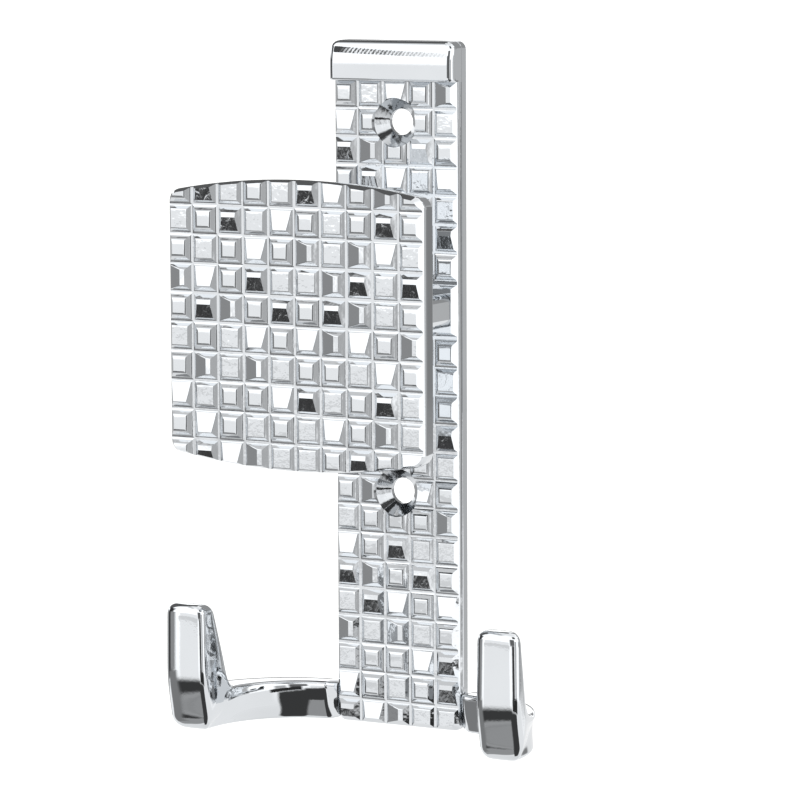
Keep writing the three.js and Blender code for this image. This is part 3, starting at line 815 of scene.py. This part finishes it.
def rippled_chrome():
    """Bright chrome over the mould's rough bed: the same plate, broken into short bright and dark streaks."""
    material, tree = new_material("bright_chrome_on_cast_ripple")
    place = add(tree, "ShaderNodeTexCoord").outputs["Object"]
    drawn = add(tree, "ShaderNodeMapping", Vector=place, Scale=(1.0, 1.0, 0.55), Rotation=(0, 0.5, 0))
    ripple = add(tree, "ShaderNodeTexNoise", Vector=drawn.outputs["Vector"], Scale=1 / (1.0 * MM),
                 Detail=2.0, Distortion=0.8)
    wave = add(tree, "ShaderNodeBump", Strength=0.7, Distance=0.09 * MM, Height=ripple.outputs["Fac"])
    rough = add(tree, "ShaderNodeMapRange", Value=ripple.outputs["Fac"], To_Min=0.05, To_Max=0.16)
    shade = add(tree, "ShaderNodeMix", {"data_type": "RGBA"}, Factor=ripple.outputs["Fac"],
                i6=tint("#D6D9DC"), i7=tint("#E2E5E8"))
    metal = add(tree, "ShaderNodeBsdfPrincipled", Base_Color=shade.outputs["Result"], Metallic=1.0,
                Roughness=rough.outputs["Result"], Normal=wave.outputs["Normal"])
    add(tree, "ShaderNodeOutputMaterial", Surface=metal.outputs["BSDF"])
    return material


def countersink_chrome_with_painted_shade():
    """Chrome down in the countersinks: softer than the open faces, with painted shade in its colour, a greyer
    base colour in small uneven patches that stands in for the darker reflections in the hollow."""
    material, tree = new_material("chrome_with_painted_shade_in_countersinks")
    place = add(tree, "ShaderNodeTexCoord").outputs["Object"]
    patch = add(tree, "ShaderNodeTexNoise", Vector=place, Scale=1 / (1.5 * MM), Detail=3.0)
    # The greyer mix is painted shade: it darkens the countersinks' colour in uneven patches.
    shade = add(tree, "ShaderNodeMix", {"data_type": "RGBA"}, Factor=patch.outputs["Fac"],
                i6=tint("#B0B3B6"), i7=tint("#D4D7DA"))
    rough = add(tree, "ShaderNodeMapRange", Value=patch.outputs["Fac"], To_Min=0.05, To_Max=0.12)
    wave = add(tree, "ShaderNodeBump", Strength=0.6, Distance=0.05 * MM, Height=patch.outputs["Fac"])
    metal = add(tree, "ShaderNodeBsdfPrincipled", Base_Color=shade.outputs["Result"], Metallic=1.0,
                Roughness=rough.outputs["Result"], Normal=wave.outputs["Normal"])
    add(tree, "ShaderNodeOutputMaterial", Surface=metal.outputs["BSDF"])
    return material


def zinc_plate():
    """Bright zinc plate on steel screws: a satin grey with a faint warm bloom and a fine grain, drawn coarser
    than the real one so that it shows."""
    material, tree = new_material("zinc_plated_steel")
    place = add(tree, "ShaderNodeTexCoord").outputs["Object"]
    bloom = add(tree, "ShaderNodeTexNoise", Vector=place, Scale=1 / (1.8 * MM), Detail=4.0)
    shade = add(tree, "ShaderNodeMix", {"data_type": "RGBA"}, Factor=bloom.outputs["Fac"],
                i6=tint("#B9BCBD"), i7=tint("#D2D0C8"))
    rough = add(tree, "ShaderNodeMapRange", Value=bloom.outputs["Fac"], To_Min=0.24, To_Max=0.42)
    grit = add(tree, "ShaderNodeTexNoise", Vector=place, Scale=1 / (0.12 * MM), Detail=1.0)
    marks = add(tree, "ShaderNodeBump", Strength=0.2, Distance=0.01 * MM, Height=grit.outputs["Fac"])
    metal = add(tree, "ShaderNodeBsdfPrincipled", Base_Color=shade.outputs["Result"], Metallic=1.0,
                Roughness=rough.outputs["Result"], Normal=marks.outputs["Normal"])
    add(tree, "ShaderNodeOutputMaterial", Surface=metal.outputs["BSDF"])
    return material


def photo_camera():
    """The photograph's long-lens view, a little to the right and just above."""
    azimuth, elevation, roll = (math.radians(angle) for angle in (28.79, 6.785, -0.266))
    aim = Vector((3.641, -8.522, -15.413)) * MM
    distance = 772.34 * MM
    lens = bpy.data.cameras.new("photo_view")
    lens.sensor_width = 36
    lens.lens = 199.73
    lens.clip_start = 0.01
    lens.clip_end = 100
    back = Vector((math.sin(azimuth) * math.cos(elevation), -math.cos(azimuth) * math.cos(elevation),
                   math.sin(elevation)))
    right = Vector((math.cos(azimuth), math.sin(azimuth), 0))
    turn = Matrix((right, back.cross(right), back)).transposed() @ Matrix.Rotation(roll, 3, "Z")
    camera = bpy.data.objects.new("photo_view", lens)
    bpy.context.collection.objects.link(camera)
    camera.matrix_world = Matrix.LocRotScale(aim + back * distance, turn, None)
    bpy.context.scene.camera = camera


def card(name, azimuths, elevations, brightness, distance, soft):
    """A curved card with soft edges that only the chrome's reflections see. Angles and edges are in degrees,
    azimuth from the front to the right."""
    bpy.ops.mesh.primitive_grid_add(x_subdivisions=24, y_subdivisions=12, size=1)
    obj = bpy.context.object
    obj.name = name
    wide = azimuths[1] - azimuths[0]
    tall = elevations[1] - elevations[0]
    for corner in obj.data.vertices:
        azimuth = math.radians(azimuths[0] + wide * (corner.co.x + 0.5))
        elevation = math.radians(elevations[0] + tall * (corner.co.y + 0.5))
        corner.co = Vector((math.sin(azimuth) * math.cos(elevation), -math.cos(azimuth) * math.cos(elevation),
                            math.sin(elevation))) * distance
    material, tree = new_material(name)
    sheet = add(tree, "ShaderNodeSeparateXYZ", Vector=add(tree, "ShaderNodeTexCoord").outputs["UV"])
    masks = []
    for axis, span, blur in (("X", wide, soft[0]), ("Y", tall, soft[1])):
        edge = add(tree, "ShaderNodeMath", {"operation": "PINGPONG"}, i0=sheet.outputs[axis], i1=0.5)
        masks.append(add(tree, "ShaderNodeMapRange", {"interpolation_type": "SMOOTHSTEP"},
                         Value=edge.outputs["Value"], From_Max=blur / span).outputs["Result"])
    cover = add(tree, "ShaderNodeMath", {"operation": "MULTIPLY"}, i0=masks[0], i1=masks[1])
    glow = add(tree, "ShaderNodeEmission", Color=(brightness, brightness, brightness, 1), Strength=1.0)
    clear = add(tree, "ShaderNodeBsdfTransparent")
    mix = add(tree, "ShaderNodeMixShader", i0=cover.outputs["Value"], i1=clear.outputs["BSDF"],
              i2=glow.outputs["Emission"])
    add(tree, "ShaderNodeOutputMaterial", Surface=mix.outputs["Shader"])
    obj.data.materials.append(material)
    obj.visible_camera = False
    obj.visible_diffuse = False
    obj.visible_shadow = False


def slatted_screen(place, aim, distance, size):
    """A small slatted screen close in front of the header, seen only in its reflection."""
    bpy.ops.mesh.primitive_plane_add(size=1)
    screen = bpy.context.object
    screen.name = "slatted_screen"
    aim = Vector(aim).normalized()
    screen.scale = (size[0], size[1], 1)
    screen.rotation_euler = aim.to_track_quat("Z", "Y").to_euler()
    screen.location = Vector(place) + aim * distance
    material, tree = new_material("slatted_screen")
    sheet = add(tree, "ShaderNodeTexCoord").outputs["UV"]
    across = add(tree, "ShaderNodeSeparateXYZ", Vector=sheet)
    bars = add(tree, "ShaderNodeTexWave", Vector=sheet, Scale=12.7, Distortion=0.12, Detail=1.0)
    shut = add(tree, "ShaderNodeMapRange", Value=across.outputs["X"], From_Min=0.18, From_Max=0.24)
    dark = add(tree, "ShaderNodeMix", {"data_type": "FLOAT"}, i0=shut.outputs["Result"], i2=0.06,
               i3=bars.outputs["Fac"])
    fade = add(tree, "ShaderNodeMapRange", Value=across.outputs["X"], From_Min=0.42, From_Max=0.85,
               To_Max=0.8)
    light = add(tree, "ShaderNodeMix", {"data_type": "FLOAT"}, i0=fade.outputs["Result"],
                i2=dark.outputs["Result"], i3=1.0)
    glow = add(tree, "ShaderNodeEmission", Strength=1.4, Color=light.outputs["Result"])
    add(tree, "ShaderNodeOutputMaterial", Surface=glow.outputs["Emission"])
    screen.data.materials.append(material)
    screen.visible_camera = False
    screen.visible_diffuse = False
    screen.visible_shadow = False


def pale_dome():
    """The white room as the chrome sees it: white all round, a pale grey towards floor and ceiling."""
    bpy.ops.mesh.primitive_uv_sphere_add(segments=48, ring_count=24, radius=6.5)
    dome = bpy.context.object
    dome.name = "pale_dome"
    material, tree = new_material("pale_dome")
    up = add(tree, "ShaderNodeSeparateXYZ", Vector=add(tree, "ShaderNodeTexCoord").outputs["Object"])
    level = add(tree, "ShaderNodeMapRange", Value=up.outputs["Z"], From_Min=-6.5, From_Max=6.5)
    ramp = add(tree, "ShaderNodeValToRGB", Fac=level.outputs["Result"])
    stops = [(0, 0.88), (0.15, 0.98), (0.29, 1.08), (0.39, 1.3),
             (0.45, 1.5), (0.8, 1.5), (0.93, 1.35), (1, 1.0)]
    while len(ramp.color_ramp.elements) < len(stops):
        ramp.color_ramp.elements.new(0.5)
    for element, (where, light) in zip(ramp.color_ramp.elements, stops):
        element.position = where
        element.color = [light / 1.6] * 3 + [1]
    glow = add(tree, "ShaderNodeEmission", Color=ramp.outputs["Color"], Strength=1.6)
    add(tree, "ShaderNodeOutputMaterial", Surface=glow.outputs["Emission"])
    dome.data.materials.append(material)
    dome.visible_camera = False
    dome.visible_diffuse = False
    dome.visible_shadow = False


def studio():
    """A white room, a pale floor and the cards that the mirror finish shows."""
    world = bpy.data.worlds.new("white_room")
    bpy.context.scene.world = world
    world.use_nodes = True
    world.node_tree.nodes["Background"].inputs["Color"].default_value = (1, 1, 1, 1)
    world.node_tree.nodes["Background"].inputs["Strength"].default_value = 1.5
    bpy.context.scene.view_settings.view_transform = "Standard"
    bpy.ops.mesh.primitive_plane_add(size=20, location=(0, 0, -0.6))
    floor = bpy.context.object
    floor.name = "pale_floor"
    material, tree = new_material("pale_floor_paint")
    place = add(tree, "ShaderNodeTexCoord").outputs["Object"]
    mottle = add(tree, "ShaderNodeTexNoise", Vector=place, Scale=1 / (60 * MM), Detail=2.0)
    shade = add(tree, "ShaderNodeMix", {"data_type": "RGBA"}, Factor=mottle.outputs["Fac"],
                i6=tint("#F0F0EE"), i7=tint("#F4F4F2"))
    paint = add(tree, "ShaderNodeBsdfPrincipled", Base_Color=shade.outputs["Result"], Roughness=0.8)
    add(tree, "ShaderNodeOutputMaterial", Surface=paint.outputs["BSDF"])
    floor.data.materials.append(material)
    floor.visible_glossy = False

    pale_dome()
    card("pale_table_front", (-40, 8), (-24, 1.5), 1.05, 6.0, (3, 3.5))
    card("grey_table_strip", (-42, 10), (-9.7, -7.1), 0.82, 5.95, (3, 0.6))
    card("black_table_edge", (-80, 20), (-33, -14.5), 0.05, 5.9, (8, 6))
    card("grey_floor_front", (-80, 20), (-56, -28), 0.35, 6.1, (8, 4))
    card("grey_low_left", (-84, -40), (-42, -11.8), 0.24, 5.55, (10, 1))
    card("grey_left_near", (-74, -43), (-13, 3), 0.32, 5.6, (10, 1.5))
    card("black_left", (-94, -50), (-17, 28), 0.04, 5.7, (12, 3))
    card("grey_left", (-146, -82), (-20, 4), 0.48, 5.85, (6, 3))
    card("black_right_front", (7, 43), (-9, 28), 0.15, 5.6, (7, 3))
    card("black_arm", (17, 70), (-20, -11), 0.03, 5.65, (5, 0.8))
    card("black_tab_line", (17, 41), (-15, -6), 0.05, 5.62, (6, 2))
    card("dark_low_right", (4, 60), (-75, -18), 0.05, 5.7, (7, 4))
    card("grey_right_front", (40, 63), (-17, 9), 0.52, 5.72, (6, 4))
    card("dark_high_right", (26, 66), (34, 66), 0.08, 5.7, (8, 8))
    card("dark_line_right", (84, 97), (-9, 8), 0.12, 5.7, (4, 3))
    card("grey_overhead", (-112, -18), (44, 72), 0.75, 5.9, (8, 8))
    card("grey_back_right", (95, 172), (-12.5, 42), 0.54, 6.0, (6, 2))
    card("grey_over_right", (120, 206), (9, 62), 0.34, 5.95, (8, 4))
    card("pale_right_low", (60, 215), (-45, -11.5), 1.0, 6.05, (8, 1.5))
    card("pale_back_right", (164, 207), (-14, 6), 0.92, 6.02, (5, 2))
    card("dark_tab_side", (124, 149), (-10.8, -2.5), 0.2, 5.75, (2.5, 1.5))
    card("dark_back_right", (154, 169), (-9.5, 9), 0.26, 5.9, (3, 3))
    card("dark_back_left", (196, 240), (-1, 9), 0.34, 5.8, (6, 2))
    card("dark_over_back", (-158, -70), (14, 70), 0.12, 5.8, (8, 4))
    brow = (0, plate_low.y + 0.2 * MM, plate_high.z - 2.05 * MM)
    mirrored = (-0.481, -0.823, 0.303)
    slatted_screen(brow, mirrored, 20 * MM, (28.2 * MM, 3.8 * MM))


CHROME = bright_chrome()
BUFFED = buffed_chrome()
CAST = cast_chrome()
RIPPLED = rippled_chrome()
# The countersinks' chrome has painted shade: a greyer base colour in patches.
SHADED_COUNTERSINK_CHROME = countersink_chrome_with_painted_shade()
ZINC = zinc_plate()

# The first operators need an active object.
only(next(iter(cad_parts.values())))
bpy.ops.object.select_all(action="DESELECT")
photo_camera()
studio()
face_plate()
front_pad()
hook_carrier()
for screw in ("clamp_screw_left", "clamp_screw_right"):
    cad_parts[screw].data.materials.clear()
    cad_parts[screw].data.materials.append(ZINC)
